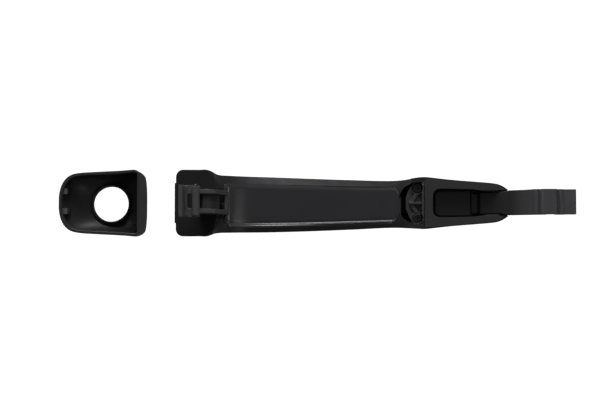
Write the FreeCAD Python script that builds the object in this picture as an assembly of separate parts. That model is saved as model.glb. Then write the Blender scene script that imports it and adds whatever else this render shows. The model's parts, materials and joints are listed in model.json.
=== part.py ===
"""Outside door handle of a car, left front door, with its separate lock cap.

Frame: +X runs forward along the door, from the lock cap to the hinge end; +Y points out of the door,
away from the car; +Z is up. Sizes are millimetres. Stations along the handle are measured from the
axis of the lock bore and depths from the door skin; the finished pieces are moved as one at the end,
so that the origin is on the handle's hinge axis at mid height.

The handle is a hollow arch. A painted outer shell wraps round a glossy finger liner; a core beam runs
inside it and stands on two feet. The front foot carries the hinge arm, whose claw turns on a bar of
the door's carrier. The rear foot carries the pull hook, which works the latch lever. Rubber gaskets
sit between the feet and the door skin. The lock cap stays on the door behind the handle.
"""
import FreeCAD
import Part

import math
import os

Vector = FreeCAD.Vector

# ---- driving dimensions ----------------------------------------------------------------------------
WALL = 2.4               # wall of the mouldings
FIT = 0.15               # gap between pieces that are fitted together
GASKET = 1.0             # thickness of the rubber gaskets; the shell's rim is this far off the door skin
OUT = 60.0               # reach of the cutting tools

# smooth sections
SECTION_POINTS = 11      # points on half a section
ROUND_SIDE, ROUND_TOP = 0.78, 0.88   # exponents of the rounding; 1 and 1 would be an ellipse

# hinge claw
HINGE_X = 229.0
HINGE_Y = -6.5
HINGE_R = 3.0
ARM_HALF = 6.4           # half width of the arm outside the foot
ARM_ROOT_HALF = 5.4      # half width where it passes through the foot's tip

# handle body
REAR_X = 35.4            # rear end at the door skin
REAR_LEAN = 2.6          # how far the rear end leans forward at the crown
TIP_X = 208.5            # front tip of the shell
HEAD_WALL_X = 57.6       # front wall of the rear head, where the fingers' space starts
COLLAR_WALL_X = 156.4    # rear wall of the front foot, where that space ends
GRIP_HALF = 14.4
BACK_HEIGHT = 20.0       # depth of the grip's back at its highest point
BACK_CREST_X = 105.0
BACK_POWER = 2.5         # how square the arch of the grip's back is; 2 would be an ellipse
SHOULDER_START = 0.58    # share of the grip's width over which its back is flat
SHOULDER_RISE = 1.7      # how far the back then falls away from the door towards its edges
LINER_SHARE = 0.73       # the liner's share of the grip's width
LINER_REAR_X, LINER_FRONT_X = 59.6, 152.0
LINER_SINK = 2.9         # depth of the finger trough along its lower edge
LINER_TILT = 7.0         # tilt of the trough's floor, in degrees; its upper edge runs out flush
LINER_WALL = 1.9
LINER_RIM = 1.2          # wall of the trough's sides
BEAM_SINK = 6.6          # depth of the core beam below the shoulders
BEAM_THICK = 4.2
BEAM_HALF = 4.5

# pull hook
HOOK_HALF = 8.0
RIB_OUT, RIB_IN = 6.0, 3.8
PIN_X, PIN_Y = 47.4, -19.9
PIN_R = 1.25

# screws
SCREW_R = 1.4
SCREW_HEAD_R = 2.6
SCREW_HEAD_H = 1.8
FRONT_SCREW_X, FRONT_SCREW_Z = 161.4, 7.8
REAR_SCREW_X, REAR_SCREW_Z = 42.4, 11.6

# lock cap
BORE_R = 9.3
SLEEVE_WALL = 0.9
SLEEVE_Y = 12.0          # depth at which the sleeve's free end stands
CAP_WALL = 1.5
CAP_END_WALL = 1.1       # the front wall is thinner
CAP_TAIL_X = -25.4
CAP_BEND_X = -15.0       # where the tail's rounding meets the straight sides
CAP_END_X = 16.4
CAP_END_HALF = 17.4      # half width that the front wall's corners are rounded from
CAP_CORNER = 5.0         # radius of the front wall's two corners
CAP_LEAN = 0.08          # lean of the cap's front wall, in mm forward per mm outward

# Outlines of the handle along its length: (station, value).
CREST = [(33, 21.4), (46, 26.4), (61, 31.0), (81, 34.8), (105, 36.6), (127, 35.2), (147, 30.8),
         (163, 25.2), (179, 18.6), (193, 12.6), (202, 9.0), (TIP_X, 6.6)]
BELT = [(33, 9.0), (61, 15.5), (105, 25.0), (151, 18.0), (163, 9.5), (193, 5.0), (TIP_X, 3.0)]
HALF = [(33, 16.6), (49, 16.5), (58, 15.3), (81, 14.9), (105, 14.2), (127, 13.4), (151, 12.5),
        (163, 13.2), (179, 11.8), (193, 10.7), (200, 10.1), (203, 9.7), (206, 8.4), (TIP_X, 6.8)]
BASE = [(33, 17.4), (51.5, 17.4), (57.5, 15.1), (81, 14.7), (151, 12.4), (158, 12.8), (163, 13.6),
        (179, 12.1), (193, 11.0), (200, 10.4), (203, 9.9), (206, 8.6), (TIP_X, 6.9)]
STATIONS = [29, 33, 37, 41, 45, 48.5, 51.5, 54.5, 57.5, 61, 66, 72, 80, 88, 96, 105, 114, 122, 130, 138, 145,
            151, 156, 160, 164, 169, 175, 182, 189, 195, 200, 204, 206.5, TIP_X]

# Outlines of the lock cap: (station, value).
CAP_CREST = [(-25.4, 2.0), (-25.0, 3.6), (-24.0, 5.6), (-22.2, 7.8), (-19.5, 9.9), (-15, 12.6),
             (-8, 15.6), (0, 18.0), (9, 20.2), (22, 22.2)]
CAP_HALF = [(-25.4, 2.4), (-25.0, 5.8), (-24.0, 9.2), (-22.2, 12.2), (-19.5, 14.4), (-15, 15.6),
            (-8, 16.1), (0, 16.5), (14.8, 17.3), (22, 17.5)]
CAP_STATIONS = [-25.4, -25.0, -24.0, -22.2, -19.5, -15, -8, 0, 9, 16, 22]


# ---- helpers ---------------------------------------------------------------------------------------
def along(table, x):
    """Smooth value of a (station, value) table at x, with no overshoot between its points."""
    xs = [p[0] for p in table]
    ys = [p[1] for p in table]
    if x <= xs[0]:
        return ys[0]
    if x >= xs[-1]:
        return ys[-1]
    slopes = [(ys[i + 1] - ys[i]) / (xs[i + 1] - xs[i]) for i in range(len(xs) - 1)]
    tangents = [slopes[0]]
    for before, after in zip(slopes, slopes[1:]):
        tangents.append(0.0 if before * after <= 0 else 2 * before * after / (before + after))
    tangents.append(slopes[-1])
    i = max(k for k in range(len(xs) - 1) if xs[k] <= x)
    step = xs[i + 1] - xs[i]
    t = (x - xs[i]) / step
    return ((2 * t**3 - 3 * t**2 + 1) * ys[i] + (t**3 - 2 * t**2 + t) * step * tangents[i]
            + (3 * t**2 - 2 * t**3) * ys[i + 1] + (t**3 - t**2) * step * tangents[i + 1])


def chords(points):
    """Share of the polyline's length at each of its points, from 0 to 1."""
    lengths = [0.0]
    for a, b in zip(points, points[1:]):
        lengths.append(lengths[-1] + (b - a).Length)
    return [length / lengths[-1] for length in lengths]


def spline(points, parameters):
    """Smooth curve through the points; sections that share parameters loft without ripples."""
    curve = Part.BSplineCurve()
    curve.interpolate(Points=points, Parameters=parameters)
    return curve.toShape()


def box(x0, x1, y0, y1, z0, z1):
    return Part.makeBox(x1 - x0, y1 - y0, z1 - z0, Vector(x0, y0, z0))


def rod(x, z, r, y0, y1):
    """Round rod along Y."""
    return Part.makeCylinder(r, y1 - y0, Vector(x, y0, z), Vector(0, 1, 0))


def rod_z(x, y, r, z0, z1):
    """Round rod along Z."""
    return Part.makeCylinder(r, z1 - z0, Vector(x, y, z0), Vector(0, 0, 1))


def rounded(corners, place):
    """Closed wire through corners (u, v, radius), each corner rounded by a tangent arc."""
    n = len(corners)
    edges = []
    starts, ends, mids = [], [], []
    for i in range(n):
        u, v, r = corners[i]
        a = Vector(corners[i - 1][0], corners[i - 1][1], 0)
        b = Vector(u, v, 0)
        c = Vector(corners[(i + 1) % n][0], corners[(i + 1) % n][1], 0)
        before = (a - b).normalize()
        after = (c - b).normalize()
        half = math.acos(max(-1.0, min(1.0, before.dot(after)))) / 2
        if r <= 0 or abs(half - math.pi / 2) < 1e-4:
            starts.append(b)
            ends.append(b)
            mids.append(None)
            continue
        reach = r / math.tan(half)
        middle = (before + after).normalize()
        centre = b + middle * (r / math.sin(half))
        starts.append(b + before * reach)
        ends.append(b + after * reach)
        mids.append(centre - middle * r)
    for i in range(n):
        if mids[i] is not None:
            edges.append(Part.Arc(place(starts[i]), place(mids[i]), place(ends[i])).toShape())
        following = starts[(i + 1) % n]
        if (following - ends[i]).Length > 1e-6:
            edges.append(Part.LineSegment(place(ends[i]), place(following)).toShape())
    return Part.Wire(edges)


def side_prism(corners, z0, z1):
    """Prism along Z of a rounded outline given as (x, y, radius)."""
    wire = rounded(corners, lambda p: Vector(p.x, p.y, z0))
    return Part.Face(wire).extrude(Vector(0, 0, z1 - z0))


def plan_prism(corners, y0, y1):
    """Prism along Y of a rounded outline given as (x, z, radius)."""
    wire = rounded(corners, lambda p: Vector(p.x, y0, p.y))
    return Part.Face(wire).extrude(Vector(0, y1 - y0, 0))


def mirrored(upper):
    """Whole plan outline from its upper half, which runs along increasing x."""
    return upper + [(x, -z, r) for x, z, r in reversed(upper)]


# ---- surfaces of the handle ------------------------------------------------------------------------
def evenly(points, count):
    """The given number of points spread evenly along a polyline."""
    shares = chords(points)
    spread = []
    for i in range(count):
        share = i / (count - 1)
        k = min(max(j for j in range(len(shares)) if shares[j] <= share + 1e-9), len(points) - 2)
        part = (share - shares[k]) / (shares[k + 1] - shares[k])
        spread.append(points[k] + (points[k + 1] - points[k]) * part)
    return spread


def arch_wire(x, half, base, belt, crest, floor, foot):
    """Closed D-shaped section at x, from floor up to crest.

    The sides stand straight up to foot, run from base to half at the belt, and then round over to the
    crest along a superellipse.
    """
    side = [Vector(x, foot + (belt - foot) * i / 8, base + (half - base) * (i / 8) ** 2) for i in range(8)]
    for degrees in range(0, 91, 5):
        t = math.radians(degrees)
        side.append(Vector(x, belt + (crest - belt) * abs(math.sin(t)) ** ROUND_TOP,
                           half * abs(math.cos(t)) ** ROUND_SIDE))
    upper = evenly(side, SECTION_POINTS)
    arch = upper + [Vector(x, v.y, -v.z) for v in reversed(upper[:-1])]
    steps = [i / (len(arch) - 1) for i in range(len(arch))]
    right = Vector(x, floor, base)
    left = Vector(x, floor, -base)
    return Part.Wire([Part.LineSegment(right, arch[0]).toShape(), spline(arch, steps),
                      Part.LineSegment(arch[-1], left).toShape(), Part.LineSegment(left, right).toShape()])


def envelope(inset, floor):
    """The handle's outer form, drawn in by inset, from floor to its crown."""
    wires = []
    for x in STATIONS:
        wires.append(arch_wire(x, along(HALF, x) - inset, along(BASE, x) - inset, along(BELT, x),
                               along(CREST, x) - inset, floor - 1, GASKET + 0.5))
    form = Part.makeLoft(wires, True, False)
    corner = 4.0 - min(inset, 2.5)
    rear = REAR_X + inset
    outline = plan_prism([(rear, -17.5 + inset, corner), (TIP_X + 9, -17.5 + inset, 0),
                          (TIP_X + 9, 17.5 - inset, 0), (rear, 17.5 - inset, corner)], floor, OUT)
    lean = side_prism([(rear, floor - 1, 0), (rear, GASKET, 0), (rear + REAR_LEAN, 24, 0),
                       (rear + REAR_LEAN + 4, OUT, 0), (TIP_X + 9, OUT, 0), (TIP_X + 9, floor - 1, 0)],
                      -OUT, OUT)
    return form.common(outline).common(lean)


def back_profile(share, grow):
    """Side view of the fingers' space: a superelliptic arch on two straight legs.

    It lies at one share of the grip's half width, where 1 is its edge; towards the edge the grip's back
    falls away from the door. grow widens the space all round.
    """
    rear = HEAD_WALL_X - 2.3 * share**2 - grow
    front = COLLAR_WALL_X + 2.4 * share**2 + grow
    fall = max(abs(share) - SHOULDER_START, 0) / (1 - SHOULDER_START)
    depth = BACK_HEIGHT + SHOULDER_RISE * fall**1.2 + grow
    points = []
    for degrees in range(180, -1, -12):
        t = math.radians(degrees)
        span = BACK_CREST_X - rear if degrees > 90 else front - BACK_CREST_X
        x = BACK_CREST_X + span * math.copysign(abs(math.cos(t)) ** (2 / BACK_POWER), math.cos(t))
        y = depth * abs(math.sin(t)) ** (2 / BACK_POWER)
        points.append(Vector(x, y, share * GRIP_HALF))
    low_rear = Vector(rear, -OUT / 4, share * GRIP_HALF)
    low_front = Vector(front, -OUT / 4, share * GRIP_HALF)
    return Part.Wire([Part.LineSegment(low_rear, points[0]).toShape(),
                      spline(points, chords(points)),
                      Part.LineSegment(points[-1], low_front).toShape(),
                      Part.LineSegment(low_front, low_rear).toShape()])


def finger_space(grow=0.0):
    """The space behind the grip, as a solid to cut with."""
    upper = [0.35, SHOULDER_START, 0.66, 0.76, 0.88, 1.0, 1.15, 1.45]
    shares = [-u for u in reversed(upper)] + [0] + upper
    return Part.makeLoft([back_profile(share, grow) for share in shares], True, False)


def plain_arch(grow):
    """The same space with the middle profile all across, for the pieces behind the grip's back."""
    face = Part.Face(back_profile(0, grow))
    face.translate(Vector(0, 0, -OUT / 2))
    return face.extrude(Vector(0, 0, OUT))


def liner_plan(inset):
    """Plan outline of the finger liner."""
    stations = (LINER_REAR_X, 70, 81, 93, 105, 117, 129, 140, LINER_FRONT_X)
    upper = [(x, LINER_SHARE * along(HALF, x) - inset, 0) for x in stations]
    upper[0] = (LINER_REAR_X + inset, upper[0][1], 2.5)
    upper[-1] = (LINER_FRONT_X - inset, upper[-1][1], 2.5)
    return plan_prism(mirrored(upper), -5, OUT)


def collar_recess():
    """The open recess at the rear of the front foot, where its two screws sit."""
    upper = [(152.2, 3.6, 5), (154.6, 8.4, 4), (159.0, 10.6, 2), (163.4, 10.6, 0)]
    return plan_prism(mirrored(upper), -5, 14)


def pocket_plan(grow, x1, y0, y1):
    """The open pocket in the front foot, which the hinge arm runs out of."""
    upper = [(169.2 - grow, 7.6 + grow, 3.8 + grow), (190.0, 7.2 + grow, 4), (198.0, 6.1 + grow, 4),
             (x1, 6.1 + grow, 0)]
    return plan_prism(mirrored(upper), y0, y1)


# ---- pieces of the handle --------------------------------------------------------------------------
def screw(x, z, head_y, tip_y):
    """Pan-head tapping screw along Y with its head towards the door and a cross recess."""
    head = rod(x, z, SCREW_HEAD_R, head_y, head_y + SCREW_HEAD_H)
    head = head.makeFillet(0.7, [e for e in head.Edges if abs(e.CenterOfMass.y - head_y) < 1e-6])
    shank = rod(x, z, SCREW_R, head_y + SCREW_HEAD_H, tip_y)
    body = head.fuse(shank)
    for long_x in (True, False):
        a, b = (1.6, 0.35) if long_x else (0.35, 1.6)
        body = body.cut(box(x - a, x + a, head_y - 1, head_y + 1.0, z - b, z + b))
    return body


def screws(x, z, head_y, tip_y):
    """A pair of screws, above and below the middle plane."""
    return Part.Compound([screw(x, z, head_y, tip_y), screw(x, -z, head_y, tip_y)])


def outer_shell(form, hollow):
    """Painted shell: the outer form, hollowed, with the finger space cut in its back."""
    shell = form.cut(finger_space())
    shell = shell.cut(hollow.cut(finger_space(WALL)))
    shell = shell.cut(liner_plan(0).common(finger_space(WALL + 3)))
    shell = shell.cut(collar_recess())
    # slot in the tip, through which the arm leaves
    slot = [(201, -5, 0), (201, 6.4, 0), (205, 5.2, 0), (209.5, 3.7, 0), (214, 2, 0), (214, -5, 0)]
    shell = shell.cut(side_prism(slot, -ARM_HALF - 0.3, ARM_HALF + 0.3))
    # hollow bosses that take the screws
    for x, z, foot in screw_seats():
        shell = shell.fuse(rod(x, z, 3.0, foot, OUT).common(form))
    for x, z, foot in screw_seats():
        shell = shell.cut(rod(x, z, SCREW_R + 0.1, foot - 1, foot + 8.5))
    return shell


def screw_seats():
    """Each screw's place and the depth at which its shell boss ends."""
    seats = [(FRONT_SCREW_X, s * FRONT_SCREW_Z, 6.2) for s in (1, -1)]
    seats += [(REAR_SCREW_X, s * REAR_SCREW_Z, 4.5) for s in (1, -1)]
    return seats


def inner_grip_liner():
    """Glossy finger liner: a shallow tray let into the grip's back, deepest along its lower edge."""
    tray = plain_arch(LINER_SINK + LINER_WALL).cut(plain_arch(0.6)).common(liner_plan(FIT))
    trough = plain_arch(LINER_SINK / 2 + 0.4)
    trough.rotate(Vector(0, BACK_HEIGHT, 0), Vector(1, 0, 0), LINER_TILT)
    return tray.cut(trough.common(liner_plan(FIT + LINER_RIM)))


def core_beam(hollow, rear_foot_top, front_foot_top):
    """Arched stiffener that stands on both feet inside the shell."""
    arch = plain_arch(BEAM_SINK + BEAM_THICK).cut(plain_arch(BEAM_SINK)).common(hollow)
    arch = arch.common(box(0, 105, rear_foot_top, OUT, -BEAM_HALF, BEAM_HALF).fuse(
        box(105, 250, front_foot_top, OUT, -BEAM_HALF, BEAM_HALF)))
    for x in (70, 88, 105, 122, 139):
        arch = arch.cut(rod(x, 0, 2.6, 0, OUT))
    return arch


def foam_pads(hollow):
    """Pads that keep the beam from rattling in the crown."""
    pads = []
    for x in (79, 105, 131):
        block = box(x - 5, x + 5, 20, OUT, -4, 4).common(hollow)
        block = block.cut(plain_arch(BEAM_SINK + BEAM_THICK + 0.05))
        pads.append(block)
    return Part.Compound(pads)


def rear_foot(fitted):
    """Plate that closes the shell's rear head and carries the pull hook."""
    plate = fitted.common(box(REAR_X, 62, GASKET, 4.4, -OUT, OUT)).cut(finger_space(WALL + FIT))
    for s in (1, -1):
        z = s * REAR_SCREW_Z
        plate = plate.cut(rod(REAR_SCREW_X, z, SCREW_HEAD_R + 0.2, 0, GASKET + SCREW_HEAD_H + 0.1))
        plate = plate.cut(rod(REAR_SCREW_X, z, SCREW_R + 0.15, 0, 9))
    return plate


def rear_gasket():
    """Rubber pad between the rear head and the door skin, open round the hook."""
    upper = [(REAR_X + 0.8, 16.6, 3.4), (51.4, 16.6, 1.5), (55.0, 13.4, 2.0), (56.6, 6.5, 4)]
    pad = plan_prism(mirrored(upper), 0, GASKET)
    pad = pad.cut(box(47.2, 62, -1, 3, -RIB_OUT - 0.3, RIB_OUT + 0.3))
    return pad


def rear_pull_hook():
    """Hook that reaches into the door and pulls the latch lever: two ribs with a T-shaped head."""
    rib = [(47.6, GASKET, 0), (47.6, -14.0, 2.0), (44.4, -16.4, 1.0), (49.4, -19.2, 0.5), (56.6, -18.6, 4.0),
           (61.4, -6.0, 3.0), (62.6, -2.2, 0.6), (62.6, 8.4, 0.4), (60.7, 8.4, 0.4), (59.2, 0.5, 0.6),
           (54.9, 0.5, 0), (54.9, GASKET, 0)]
    hook = side_prism(rib, -RIB_OUT, -RIB_IN).fuse(side_prism(rib, RIB_IN, RIB_OUT))
    root_bar = [(60.8, -3.2, 0.3), (62.6, -2.2, 0.5), (62.6, 8.4, 0.4), (60.8, 8.4, 0.4)]
    hook = hook.fuse(side_prism(root_bar, -RIB_OUT, RIB_OUT))
    head = [(38.9, HOOK_HALF, 0.8), (49.4, HOOK_HALF, 0.8)]
    hook = hook.fuse(plan_prism(mirrored(head), -19.2, -14.0))
    lip = [(38.9, -22.8, 0.9), (41.1, -22.8, 0.7), (41.1, -18, 0), (38.9, -18, 0)]
    hook = hook.fuse(side_prism(lip, -HOOK_HALF, HOOK_HALF))
    bead = [(42.2, -20.4, 0.3), (43.0, -20.4, 0.3), (43.0, -19.0, 0), (42.2, -19.0, 0)]
    hook = hook.fuse(side_prism(bead, 0.4 - HOOK_HALF, HOOK_HALF - 0.4))
    bar = [(45.7, -18.0, 0), (45.7, -21.6, 1.4), (49.2, -21.6, 1.6), (49.2, -18.0, 0)]
    hook = hook.fuse(side_prism(bar, 0.7 - HOOK_HALF, HOOK_HALF - 0.7))
    hook = hook.cut(plan_prism(mirrored([(43.3, 3.7, 0.9), (45.7, 3.7, 0.9)]), -25, -10))
    return hook.cut(rod_z(PIN_X, PIN_Y, PIN_R + 0.02, -20, 20))


def hook_pin():
    """Steel cross pin of the hook's head."""
    pin = rod_z(PIN_X, PIN_Y, PIN_R, -HOOK_HALF - 0.4, HOOK_HALF + 0.4)
    return pin.makeFillet(0.4, [e for e in pin.Edges if e.Curve.TypeId == "Part::GeomCircle"])


def hook_bumper():
    """Rubber buffer between the hook's ribs, with a rounded nose."""
    outline = [(49.7, GASKET, 0), (49.7, -16.0, 1.6), (50.6, -17.8, 1.5), (54.6, -17.8, 3.0),
               (58.7, -10.0, 2.6), (58.7, 0.5, 0), (54.9, 0.5, 0), (54.9, GASKET, 0)]
    return side_prism(outline, -RIB_IN + 0.2, RIB_IN - 0.2)


def end_bumper():
    """Rubber strip on the rear end, which keeps the handle off the lock cap."""
    strip = side_prism([(34.7, 1.2, 0.3), (REAR_X, 1.2, 0), (REAR_X + 0.78, 8.0, 0), (35.45, 8.0, 0.3)],
                       -10.4, 10.4)
    return strip


def front_foot(fitted):
    """Tub that closes the shell's front end and holds the hinge arm."""
    plate = fitted.common(box(163.6, 204, GASKET, 3.4, -OUT, OUT))
    lip = side_prism([(163.6, 0.2, 0.6), (164.9, 0.2, 0.6), (164.9, 3.4, 0), (163.6, 3.4, 0)], -9.6, 9.6)
    tub = pocket_plan(1.8, 204, GASKET, 11.2).common(fitted)
    foot = plate.fuse(lip).fuse(tub)
    # floor of the collar's recess, with the bosses of the two screws and ribs between them
    floor = [(155.6, 3.0, 3), (157.4, 7.6, 3), (159.4, 10.2, 1), (164.4, 10.2, 0)]
    foot = foot.fuse(plan_prism(mirrored(floor), 4.2, 5.8).common(fitted))
    for s in (1, -1):
        foot = foot.fuse(rod(FRONT_SCREW_X, s * FRONT_SCREW_Z, 3.3, 3.0, 6.1).common(fitted))
        brace = [(157.0, s * 0.2, 0), (158.4, s * -0.8, 0), (162.0, s * 4.8, 0), (160.6, s * 5.8, 0)]
        foot = foot.fuse(plan_prism(brace[::s], 2.8, 4.4))
    foot = foot.fuse(box(157.0, 164.0, 2.2, 4.4, -0.6, 0.6))
    foot = foot.cut(pocket_plan(0, 230, -5, 9.6))
    for s in (1, -1):
        z = s * FRONT_SCREW_Z
        foot = foot.cut(rod(FRONT_SCREW_X, z, SCREW_HEAD_R + 0.15, 0, 4.8))
        foot = foot.cut(rod(FRONT_SCREW_X, z, SCREW_R + 0.15, 0, 9))
    return foot


def front_gasket():
    """Rubber frame between the front foot and the door skin."""
    upper = [(165.1, 13.0, 0.8), (179, 11.7, 0), (193, 10.6, 0), (202.6, 9.6, 4), (206.4, 7.9, 2),
             (207.4, 6.9, 0)]
    frame = plan_prism(mirrored(upper), 0, GASKET)
    frame = frame.cut(pocket_plan(0, 230, -5, 5))
    return frame.cut(box(196, 220, -5, 5, -ARM_HALF - 0.3, ARM_HALF + 0.3))


def hinge_arm():
    """Swan-neck arm: its root lies in the front foot's pocket and its claw grips the hinge bar."""
    outline = [(170.6, 6.0, 0.8), (189.4, 6.0, 0.9), (190.2, 7.6, 0.5), (193.2, 7.6, 0.5), (194.6, 5.4, 0.8),
               (199.0, 3.4, 3), (207.6, -2.0, 6), (215.8, -8.0, 4), (218.4, -11.2, 2), (219.6, -13.6, 0.8),
               (221.4, -14.0, 0.7), (222.2, -12.8, 0.4), (223.4, -15.6, 1.0), (230.0, -15.6, 1.6),
               (231.9, -12.2, 0.4), (232.4, -13.3, 0.6), (233.7, -13.3, 0.6), (234.3, -11.9, 0.4),
               (240.4, -11.9, 1.6), (241.6, -10.0, 1.2), (241.2, -7.6, 1.2), (237.2, -7.4, 1.5),
               (235.2, -4.7, 1.2), (224.6, -4.5, 1.2), (216.6, -0.6, 5), (208.4, 3.3, 5),
               (200.0, 5.6, 4), (195.2, 8.0, 2), (191.0, 9.4, 2), (170.6, 9.4, 0.5)]
    arm = side_prism(outline, -ARM_HALF, ARM_HALF)
    width = [(170.6, ARM_HALF, 3.4), (188.6, ARM_HALF, 2.2), (190.4, ARM_ROOT_HALF - 0.4, 0.6),
             (193.6, ARM_ROOT_HALF - 0.4, 0.6), (195.0, ARM_ROOT_HALF, 0.5), (203.6, ARM_ROOT_HALF, 4),
             (208.6, ARM_HALF, 4), (250, ARM_HALF, 0)]
    arm = arm.common(plan_prism(mirrored(width), -30, 30))
    return arm.cut(rod_z(HINGE_X, HINGE_Y, HINGE_R, -20, 20))


# ---- the lock cap ----------------------------------------------------------------------------------
def cap_form(inset, floor):
    """The lock cap's outer form, drawn in by inset, from floor to its crown."""
    shrink = (CAP_BEND_X - CAP_TAIL_X - inset) / (CAP_BEND_X - CAP_TAIL_X)
    wires = []
    for x in CAP_STATIONS:
        half = max(along(CAP_HALF, x) - inset, 0.6)
        crest = max(along(CAP_CREST, x) - inset, 1.0 + 0.3 * (x - CAP_TAIL_X))
        place = x if x > CAP_BEND_X else CAP_BEND_X + (x - CAP_BEND_X) * shrink
        wires.append(arch_wire(place, half, half, 0.4 * crest, crest, floor - 1, min(0.3, 0.2 * crest)))
    form = Part.makeLoft(wires, True, False)
    end = CAP_END_X - (CAP_END_WALL if inset else 0)
    end_low = end + CAP_LEAN * floor
    end_high = end + CAP_LEAN * OUT
    keep = side_prism([(-40, floor, 0), (end_low, floor, 0), (end_high, OUT, 0), (-40, OUT, 0)], -OUT, OUT)
    reach = end + CAP_LEAN * 21
    corner = [(-40, CAP_END_HALF - inset, 0), (reach, CAP_END_HALF - inset, CAP_CORNER - inset)]
    return form.common(keep).common(plan_prism(mirrored(corner), floor, OUT))


def cap_shell():
    """Lock cap: a thin shell with a round opening and a sleeve for the lock's face."""
    outer = cap_form(0, 0)
    shell = outer.cut(cap_form(CAP_WALL, -3))
    sleeve = rod(0, 0, BORE_R + SLEEVE_WALL, SLEEVE_Y, OUT).common(outer)
    return shell.fuse(sleeve).cut(rod(0, 0, BORE_R, -5, OUT))


def cap_clips():
    """Two snap tabs in the cap's tail that grip the lock housing."""
    tab = [(-23.6, 1.4, 0), (-21.4, 1.4, 0.5), (-20.2, 4.6, 0.6), (-20.0, 10, 0), (-23.6, 10, 0)]
    inside = cap_form(CAP_WALL + 0.05, -3)
    clips = [side_prism(tab, middle - 1.5, middle + 1.5).common(inside) for middle in (-4.2, 6.2)]
    return Part.Compound(clips)


# ---- assembly --------------------------------------------------------------------------------------
def build():
    form = envelope(0, GASKET)
    hollow = envelope(WALL, -3)
    fitted = envelope(WALL + FIT, -3)
    pieces = {
        "outer_shell": outer_shell(form, hollow),
        "inner_grip_liner": inner_grip_liner(),
        "core_beam": core_beam(envelope(WALL + 0.5, -3), 4.5, 6.2),
        "foam_pads": foam_pads(envelope(WALL + 0.1, -3)),
        "rear_foot": rear_foot(fitted),
        "rear_gasket": rear_gasket(),
        "rear_pull_hook": rear_pull_hook(),
        "hook_pin": hook_pin(),
        "hook_bumper": hook_bumper(),
        "end_bumper": end_bumper(),
        "front_foot": front_foot(fitted),
        "front_gasket": front_gasket(),
        "hinge_arm": hinge_arm(),
        "front_screws": screws(FRONT_SCREW_X, FRONT_SCREW_Z, 2.95, 14.0),
        "rear_screws": screws(REAR_SCREW_X, REAR_SCREW_Z, GASKET + 0.05, 12.0),
        "cap_shell": cap_shell(),
        "cap_clips": cap_clips(),
    }
    return pieces


def export(pieces):
    os.makedirs("parts", exist_ok=True)
    for old in os.listdir("parts"):
        if old.endswith(".step"):
            os.remove(os.path.join("parts", old))
    for name, shape in pieces.items():
        moved = shape.copy()
        moved.translate(Vector(-HINGE_X, -HINGE_Y, 0))
        solids = moved.Solids
        print(f"{name:18s} solids {len(solids)} valid {moved.isValid()} volume {moved.Volume:9.1f}")
        whole = solids[0] if len(solids) == 1 else Part.Compound(solids)
        whole.exportStep(os.path.join("parts", name + ".step"))


if __name__ == "__main__":
    export(build())
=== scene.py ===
"""Studio view of a car's outside door handle and its lock cap, seen from the door side."""

import json
import math

import bpy
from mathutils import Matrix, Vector


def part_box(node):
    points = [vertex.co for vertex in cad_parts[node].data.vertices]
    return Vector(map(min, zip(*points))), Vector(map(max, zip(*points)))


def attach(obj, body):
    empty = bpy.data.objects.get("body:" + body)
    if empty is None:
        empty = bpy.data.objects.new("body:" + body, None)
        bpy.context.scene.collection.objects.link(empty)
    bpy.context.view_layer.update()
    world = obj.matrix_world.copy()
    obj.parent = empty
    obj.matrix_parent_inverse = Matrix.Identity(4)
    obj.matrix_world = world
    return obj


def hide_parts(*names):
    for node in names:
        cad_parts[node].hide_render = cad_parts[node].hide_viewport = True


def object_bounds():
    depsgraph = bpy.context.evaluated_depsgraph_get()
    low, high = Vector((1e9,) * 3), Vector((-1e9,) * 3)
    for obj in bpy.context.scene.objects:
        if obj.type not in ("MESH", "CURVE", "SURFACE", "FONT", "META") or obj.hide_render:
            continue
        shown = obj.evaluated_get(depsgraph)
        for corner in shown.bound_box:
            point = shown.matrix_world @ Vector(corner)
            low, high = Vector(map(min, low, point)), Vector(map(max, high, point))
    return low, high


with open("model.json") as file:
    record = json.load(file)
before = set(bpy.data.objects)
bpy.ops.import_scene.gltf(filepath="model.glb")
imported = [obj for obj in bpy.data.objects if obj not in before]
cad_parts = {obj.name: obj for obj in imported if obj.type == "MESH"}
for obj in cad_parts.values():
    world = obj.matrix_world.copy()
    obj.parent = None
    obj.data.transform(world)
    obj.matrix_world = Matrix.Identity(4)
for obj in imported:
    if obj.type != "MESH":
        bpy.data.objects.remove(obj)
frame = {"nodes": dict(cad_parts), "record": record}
cad_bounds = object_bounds()
nodes = frame["nodes"]

MM = 0.001


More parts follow.
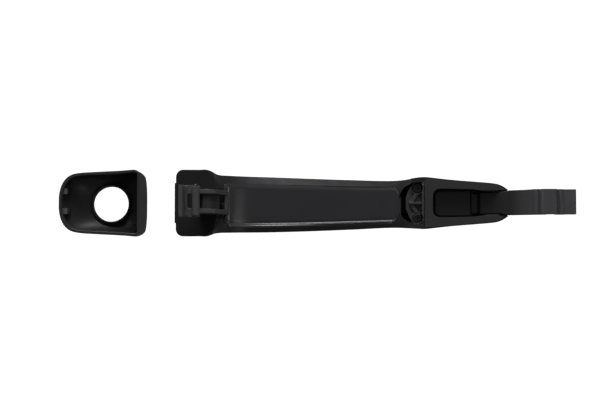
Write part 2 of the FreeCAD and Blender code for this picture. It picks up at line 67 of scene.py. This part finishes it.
# ---- materials -------------------------------------------------------------------------------------
class Nodes:
    """Shorthand for building a material's node tree."""

    def __init__(self, name):
        self.material = bpy.data.materials.new(name)
        self.material.use_nodes = True
        self.tree = self.material.node_tree
        self.shader = self.tree.nodes["Principled BSDF"]

    def add(self, kind, **settings):
        node = self.tree.nodes.new(kind)
        for key, value in settings.items():
            if key in node.inputs:
                node.inputs[key].default_value = value
            else:
                setattr(node, key, value)
        return node

    def link(self, source, target):
        self.tree.links.new(source, target)

    def place(self):
        """Position on the object, so that patterns stay with the piece."""
        return self.add("ShaderNodeTexCoord").outputs["Object"]

    def noise(self, scale, detail):
        node = self.add("ShaderNodeTexNoise", Scale=scale, Detail=detail)
        self.link(self.place(), node.inputs["Vector"])
        return node.outputs["Fac"]

    def spread(self, factor, low, high, start=0.3, end=0.7):
        """Maps a factor to a range of values."""
        node = self.add("ShaderNodeMapRange")
        self.link(factor, node.inputs["Value"])
        node.inputs["From Min"].default_value = start
        node.inputs["From Max"].default_value = end
        node.inputs["To Min"].default_value = low
        node.inputs["To Max"].default_value = high
        return node.outputs["Result"]

    def blend(self, factor, first, second):
        node = self.add("ShaderNodeMix", data_type="RGBA")
        self.link(factor, node.inputs[0])
        node.inputs[6].default_value = (*first, 1)
        node.inputs[7].default_value = (*second, 1)
        return node.outputs[2]

    def along_x(self, start, end, low, high):
        """Value that runs from low at x = start to high at x = end."""
        parts = self.add("ShaderNodeSeparateXYZ")
        self.link(self.place(), parts.inputs["Vector"])
        return self.spread(parts.outputs["X"], low, high, start, end)

    def scaled(self, colour, factor):
        """The colour times a factor."""
        node = self.add("ShaderNodeVectorMath", operation="SCALE")
        self.link(colour, node.inputs[0])
        self.link(factor, node.inputs["Scale"])
        return node.outputs[0]

    def bump(self, height, strength, distance, below=None):
        node = self.add("ShaderNodeBump", Strength=strength, Distance=distance)
        self.link(height, node.inputs["Height"])
        if below is not None:
            self.link(below, node.inputs["Normal"])
        return node.outputs["Normal"]

    def soft_edges(self, radius, below=None):
        """Normal that rounds sharp edges over by radius."""
        node = self.add("ShaderNodeBevel", samples=6, Radius=radius)
        if below is not None:
            self.link(below, node.inputs["Normal"])
        return node.outputs["Normal"]


TONE_VARIES = 0.12       # share by which a moulded plastic's tone goes up and down


def plastic(name, colour, roughness, grain=0.0, ripple=0.0, edge=0.0, painted_light_and_shade=None):
    """Moulded black plastic: slightly uneven tone and gloss, moulded grain and faint flow ripples.

    edge is the radius that its sharp edges are shaded with. The last argument gives two stations along
    x and the tone's factor at each: painted shade that darkens the piece at one end, painted light
    that brightens the other.
    """
    n = Nodes(name)
    shader = n.shader
    darker = tuple(c * (1 - TONE_VARIES) for c in colour)
    lighter = tuple(c * (1 + TONE_VARIES) for c in colour)
    tone = n.blend(n.noise(90, 4), darker, lighter)
    # painted light and shade: the tone is scaled along x, darker where shade falls and paler where
    # light falls
    if painted_light_and_shade:
        tone = n.scaled(tone, n.along_x(*painted_light_and_shade))
    n.link(tone, shader.inputs["Base Color"])
    n.link(n.spread(n.noise(160, 5), roughness - 0.04, roughness + 0.05), shader.inputs["Roughness"])
    normal = None
    if ripple:
        normal = n.bump(n.noise(45, 1), ripple, 0.4 * MM)
    if grain:
        normal = n.bump(n.noise(4000, 2), grain, 0.02 * MM, normal)
    if edge:
        normal = n.soft_edges(edge, normal)
    if normal is not None:
        n.link(normal, shader.inputs["Normal"])
    return n.material


def rubber(name, colour, roughness=0.75, specular=0.35):
    n = Nodes(name)
    lighter = tuple(c * 1.35 for c in colour)
    n.link(n.blend(n.noise(400, 6), colour, lighter), n.shader.inputs["Base Color"])
    n.link(n.spread(n.noise(700, 4), roughness - 0.08, roughness + 0.08), n.shader.inputs["Roughness"])
    n.link(n.bump(n.noise(3000, 3), 0.25, 0.03 * MM), n.shader.inputs["Normal"])
    n.shader.inputs["Specular IOR Level"].default_value = specular
    return n.material


def steel(name, colour, roughness):
    """Plated steel with fine turning marks."""
    n = Nodes(name)
    lighter = tuple(c * 1.25 for c in colour)
    n.link(n.blend(n.noise(600, 3), colour, lighter), n.shader.inputs["Base Color"])
    n.link(n.spread(n.noise(900, 4), roughness - 0.06, roughness + 0.08), n.shader.inputs["Roughness"])
    n.link(n.bump(n.noise(5000, 2), 0.15, 0.01 * MM), n.shader.inputs["Normal"])
    n.shader.inputs["Metallic"].default_value = 1.0
    return n.material


def foam(name, colour):
    n = Nodes(name)
    cells = n.add("ShaderNodeTexVoronoi", Scale=1500)
    n.link(n.place(), cells.inputs["Vector"])
    n.link(n.blend(cells.outputs["Distance"], tuple(c * 0.4 for c in colour), colour),
           n.shader.inputs["Base Color"])
    n.link(n.bump(cells.outputs["Distance"], 0.6, 0.15 * MM), n.shader.inputs["Normal"])
    n.shader.inputs["Roughness"].default_value = 0.9
    return n.material


def paint(piece, material):
    mesh = piece.data
    mesh.materials.clear()
    mesh.materials.append(material)


FINISHES = {
    "shell_black": plastic("shell_black", (0.019, 0.019, 0.020), 0.32, ripple=0.02, edge=0.2 * MM),
    "cap_black": plastic("cap_black", (0.028, 0.027, 0.027), 0.43, ripple=0.08, edge=0.5 * MM),
    "liner_gloss": plastic("liner_gloss", (0.046, 0.046, 0.050), 0.20, ripple=0.10),
    "beam_black": plastic("beam_black", (0.030, 0.030, 0.030), 0.55, grain=0.4),
    "foot_black": plastic("foot_black", (0.040, 0.040, 0.040), 0.50, grain=0.5, edge=0.3 * MM),
    "hook_grey": plastic("hook_grey", (0.070, 0.070, 0.070), 0.46, grain=0.5, edge=0.35 * MM),
    # the arm is painted darker towards its root in the door pocket (painted shade) and paler at its
    # claw (painted light)
    "arm_black": plastic("arm_black", (0.033, 0.033, 0.035), 0.38, grain=0.4, edge=0.4 * MM,
                         painted_light_and_shade=(-20 * MM, -6 * MM, 0.44, 2.2)),
    "gasket_rubber": rubber("gasket_rubber", (0.027, 0.027, 0.027)),
    "bumper_rubber": rubber("bumper_rubber", (0.028, 0.028, 0.028)),
    "pin_steel": steel("pin_steel", (0.07, 0.07, 0.072), 0.45),
    "screw_steel": steel("screw_steel", (0.05, 0.05, 0.052), 0.42),
    "clip_steel": steel("clip_steel", (0.30, 0.30, 0.31), 0.3),
    "foam_grey": foam("foam_grey", (0.08, 0.08, 0.085)),
}

for sub in frame["record"]["subparts"]:
    paint(nodes[sub["node"]], FINISHES[sub["material_slot"]])

# pieces whose tone differs from their neighbours of the same finish
# the rear gasket's near-black rubber also stands in for the shade that the pull hook casts into its
# slot: partly painted shade
paint(nodes["rear_gasket"], rubber("rear_gasket_rubber", (0.012, 0.012, 0.012), 0.85, 0.2))
paint(nodes["end_bumper"], rubber("end_bumper_rubber", (0.006, 0.006, 0.006), 0.85, 0.2))


# ---- places in the frame ---------------------------------------------------------------------------
def middle():
    low, high = cad_bounds
    return Vector([(a + b) / 2 for a, b in zip(low, high)])


def door_plane():
    """Depth of the door skin, where the handle's gaskets rest."""
    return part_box("rear_gasket")[0][1]


# ---- finger trough ---------------------------------------------------------------------------------
ARCH_POWER = 2.5             # squareness of the grip's back, seen from above
HEAD_WALL = -171.4 * MM      # rear and front ends of the finger space, from the hinge axis
COLLAR_WALL = -72.6 * MM
ARCH_CREST = -124.0 * MM
ARCH_HEIGHT = 20.0 * MM
SHOULDER_START = 0.58        # share of the grip's width over which its back is flat
SHOULDER_RISE = 1.7 * MM     # how far the back then falls away towards its edges
LINER_SHARE = 0.73           # the trough's share of the grip's width
TROUGH_LIP = 0.06 * MM       # how far the trough's edge lies below the grip's back
TROUGH_REACH = 0.12 * MM     # how far it reaches past the liner's edge, to meet the shell
TROUGH_SINK = 2.9 * MM       # depth of its floor along its lower edge
TROUGH_FILLET = 1.5 * MM     # radius between its floor and its lower side
TROUGH_END_FILLET = 3.4 * MM   # radius between its floor and its two ends
TROUGH_WALL = 1.6 * MM
TROUGH_ROWS = 150            # mesh steps along the trough
TROUGH_COLUMNS = 72          # mesh steps across it
SHOULDER_POWER = 1.2         # how gradually the back begins to fall away


def back_height(x, grow):
    """Depth of the grip's back at x, measured from the door skin and pushed out by grow."""
    end = HEAD_WALL if x < ARCH_CREST else COLLAR_WALL
    span = abs(end - ARCH_CREST) + grow
    share = min(abs(x - ARCH_CREST) / span, 1.0)
    return (ARCH_HEIGHT + grow) * (1 - share**ARCH_POWER) ** (1 / ARCH_POWER)


def upper_outline(name):
    """Upper edge of a node's plan outline: the hull of its vertices, as (x, z) from rear to front."""
    piece = nodes[name]
    corners = [piece.matrix_world @ v.co for v in piece.data.vertices]
    points = sorted({(round(p.x, 6), round(p.z, 6)) for p in corners})
    hull = []
    for point in points:
        while len(hull) > 1:
            (x0, z0), (x1, z1) = hull[-2:]
            if (x1 - x0) * (point[1] - z0) < (z1 - z0) * (point[0] - x0):
                break
            hull.pop()
        hull.append(point)
    return hull


def interpolate(outline, x):
    x = max(x, outline[0][0])
    for (x0, z0), (x1, z1) in zip(outline, outline[1:]):
        if x <= x1:
            return z0 + (z1 - z0) * (x - x0) / max(x1 - x0, 1e-9)
    return outline[-1][1]


def finger_trough():
    """Polished trough in place of the liner's plain tray.

    Its floor runs out flush at the upper edge and is deepest along the lower one.
    """
    outline = upper_outline("inner_grip_liner")
    rear, front = outline[0][0] - TROUGH_REACH, outline[-1][0] + TROUGH_REACH
    verts, faces = [], []
    for i in range(TROUGH_ROWS + 1):
        x = (rear + front) / 2 - (front - rear) / 2 * math.cos(math.pi * i / TROUGH_ROWS)
        half = interpolate(outline, x) + TROUGH_REACH
        end_gap = min(x - rear, front - x)
        end_share = max(1 - end_gap / TROUGH_END_FILLET, 0)
        for j in range(TROUGH_COLUMNS + 1):
            z = half * math.sin(math.pi / 2 * (2 * j / TROUGH_COLUMNS - 1))
            side_share = max(1 - (half + z) / TROUGH_FILLET, 0)
            curve = math.sqrt(1 - min(end_share**2 + side_share**2, 1))
            lean = (half - z) / (2 * half)
            fall = max(LINER_SHARE * abs(z) / half - SHOULDER_START, 0) / (1 - SHOULDER_START)
            grow = TROUGH_LIP + (TROUGH_SINK - TROUGH_LIP) * curve * lean
            grow += SHOULDER_RISE * fall**SHOULDER_POWER
            verts.append((x, door_plane() + back_height(x, grow), z))
    stride = TROUGH_COLUMNS + 1
    for i in range(TROUGH_ROWS):
        for j in range(TROUGH_COLUMNS):
            a = i * stride + j
            faces.append((a, a + 1, a + stride + 1, a + stride))
    mesh = bpy.data.meshes.new("finger_trough")
    mesh.from_pydata(verts, [], faces)
    mesh.polygons.foreach_set("use_smooth", [True] * len(faces))
    piece = bpy.data.objects.new("finger_trough", mesh)
    bpy.context.scene.collection.objects.link(piece)
    wall = piece.modifiers.new("wall", "SOLIDIFY")
    wall.thickness = TROUGH_WALL
    wall.offset = 1.0
    paint(piece, FINISHES["liner_gloss"])
    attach(piece, "handle")
    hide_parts("inner_grip_liner")


# ---- studio ----------------------------------------------------------------------------------------
CAMERA_DISTANCE = 0.65
CAMERA_RISE = -3.0       # degrees above the horizon
CAMERA_SHIFT = -8.0 * MM     # sideways place of the view's centre, from the middle of the part
CAMERA_HEIGHT = 1.5 * MM     # height of the view's centre
VIEW_WIDTH = 0.312       # width of the view at the door plane
SENSOR = 36.0


def camera():
    data = bpy.data.cameras.new("camera")
    data.sensor_width = SENSOR
    data.lens = SENSOR * CAMERA_DISTANCE / VIEW_WIDTH
    data.clip_start = 0.01
    eye = bpy.data.objects.new("camera", data)
    bpy.context.scene.collection.objects.link(eye)
    rise = math.radians(CAMERA_RISE)
    centre = Vector((middle().x + CAMERA_SHIFT, door_plane(), CAMERA_HEIGHT))
    eye.location = centre + Vector((0, -math.cos(rise), math.sin(rise))) * CAMERA_DISTANCE
    eye.rotation_euler = (math.pi / 2 - rise, 0, 0)
    bpy.context.scene.camera = eye


def panel(name, centre, target, width, height, power):
    """Rectangular soft light aimed at target."""
    data = bpy.data.lights.new(name, "AREA")
    data.shape = "RECTANGLE"
    data.size = width
    data.size_y = height
    data.energy = power
    light = bpy.data.objects.new(name, data)
    light.location = centre
    light.rotation_euler = (Vector(target) - Vector(centre)).to_track_quat("-Z", "Y").to_euler()
    bpy.context.scene.collection.objects.link(light)


def stage_material(name, colour, glow):
    n = Nodes(name)
    n.shader.inputs["Base Color"].default_value = (*colour, 1)
    n.shader.inputs["Roughness"].default_value = 0.9
    n.shader.inputs["Emission Color"].default_value = (1, 1, 1, 1)
    n.shader.inputs["Emission Strength"].default_value = glow
    return n.material


SWEEP_FLOOR = -0.30      # height of the floor
SWEEP_NEAR = -1.4        # front edge of the floor
SWEEP_BACK = 1.9         # the backdrop; far enough back for a view from behind to stand before it
SWEEP_BEND = 0.3         # radius where the floor curves up
SWEEP_STEPS = 8
SWEEP_TOP = 1.2
SWEEP_HALF = 1.6         # half width


def sweep():
    """Pale floor that curves up into a backdrop behind the object."""
    mid = middle()
    bend_start = SWEEP_BACK - SWEEP_BEND
    profile = [(SWEEP_NEAR, SWEEP_FLOOR), (bend_start, SWEEP_FLOOR)]
    for step in range(1, SWEEP_STEPS + 1):
        angle = math.pi / 2 * step / SWEEP_STEPS
        y = bend_start + SWEEP_BEND * math.sin(angle)
        z = SWEEP_FLOOR + SWEEP_BEND * (1 - math.cos(angle))
        profile.append((y, z))
    profile.append((SWEEP_BACK, SWEEP_TOP))
    verts, faces = [], []
    for side in (-SWEEP_HALF, SWEEP_HALF):
        verts += [(mid.x + side, y, z) for y, z in profile]
    count = len(profile)
    for i in range(count - 1):
        faces.append((i, i + 1, count + i + 1, count + i))
    mesh = bpy.data.meshes.new("sweep")
    mesh.from_pydata(verts, [], faces)
    mesh.polygons.foreach_set("use_smooth", [True] * len(faces))
    mesh.materials.append(stage_material("sweep_white", (0.9, 0.9, 0.9), 0.9))
    piece = bpy.data.objects.new("sweep", mesh)
    bpy.context.scene.collection.objects.link(piece)
    piece.visible_diffuse = False
    piece.visible_glossy = False


# each light: place from the middle of the part, width, height, power in watts
LIGHTS = {
    "top_light": ((-0.15, -0.22, 0.82), 1.0, 0.40, 12),
    "front_fill": ((0.15, -1.1, 0.75), 1.4, 0.6, 0.6),
    "side_light": ((1.0, -0.14, -0.14), 0.12, 0.45, 0.5),
    "low_light": ((0.73, -0.71, -0.41), 0.30, 0.30, 0.8),
}
SURROUND = 0.13          # strength of the even light from all round


def studio():
    mid = middle()
    for name, (place, width, height, power) in LIGHTS.items():
        panel(name, mid + Vector(place), mid, width, height, power)
    world = bpy.data.worlds.new("world")
    world.use_nodes = True
    world.node_tree.nodes["Background"].inputs["Color"].default_value = (1, 1, 1, 1)
    world.node_tree.nodes["Background"].inputs["Strength"].default_value = SURROUND
    bpy.context.scene.world = world
    bpy.context.scene.view_settings.view_transform = "Standard"
    sweep()


finger_trough()
camera()
studio()
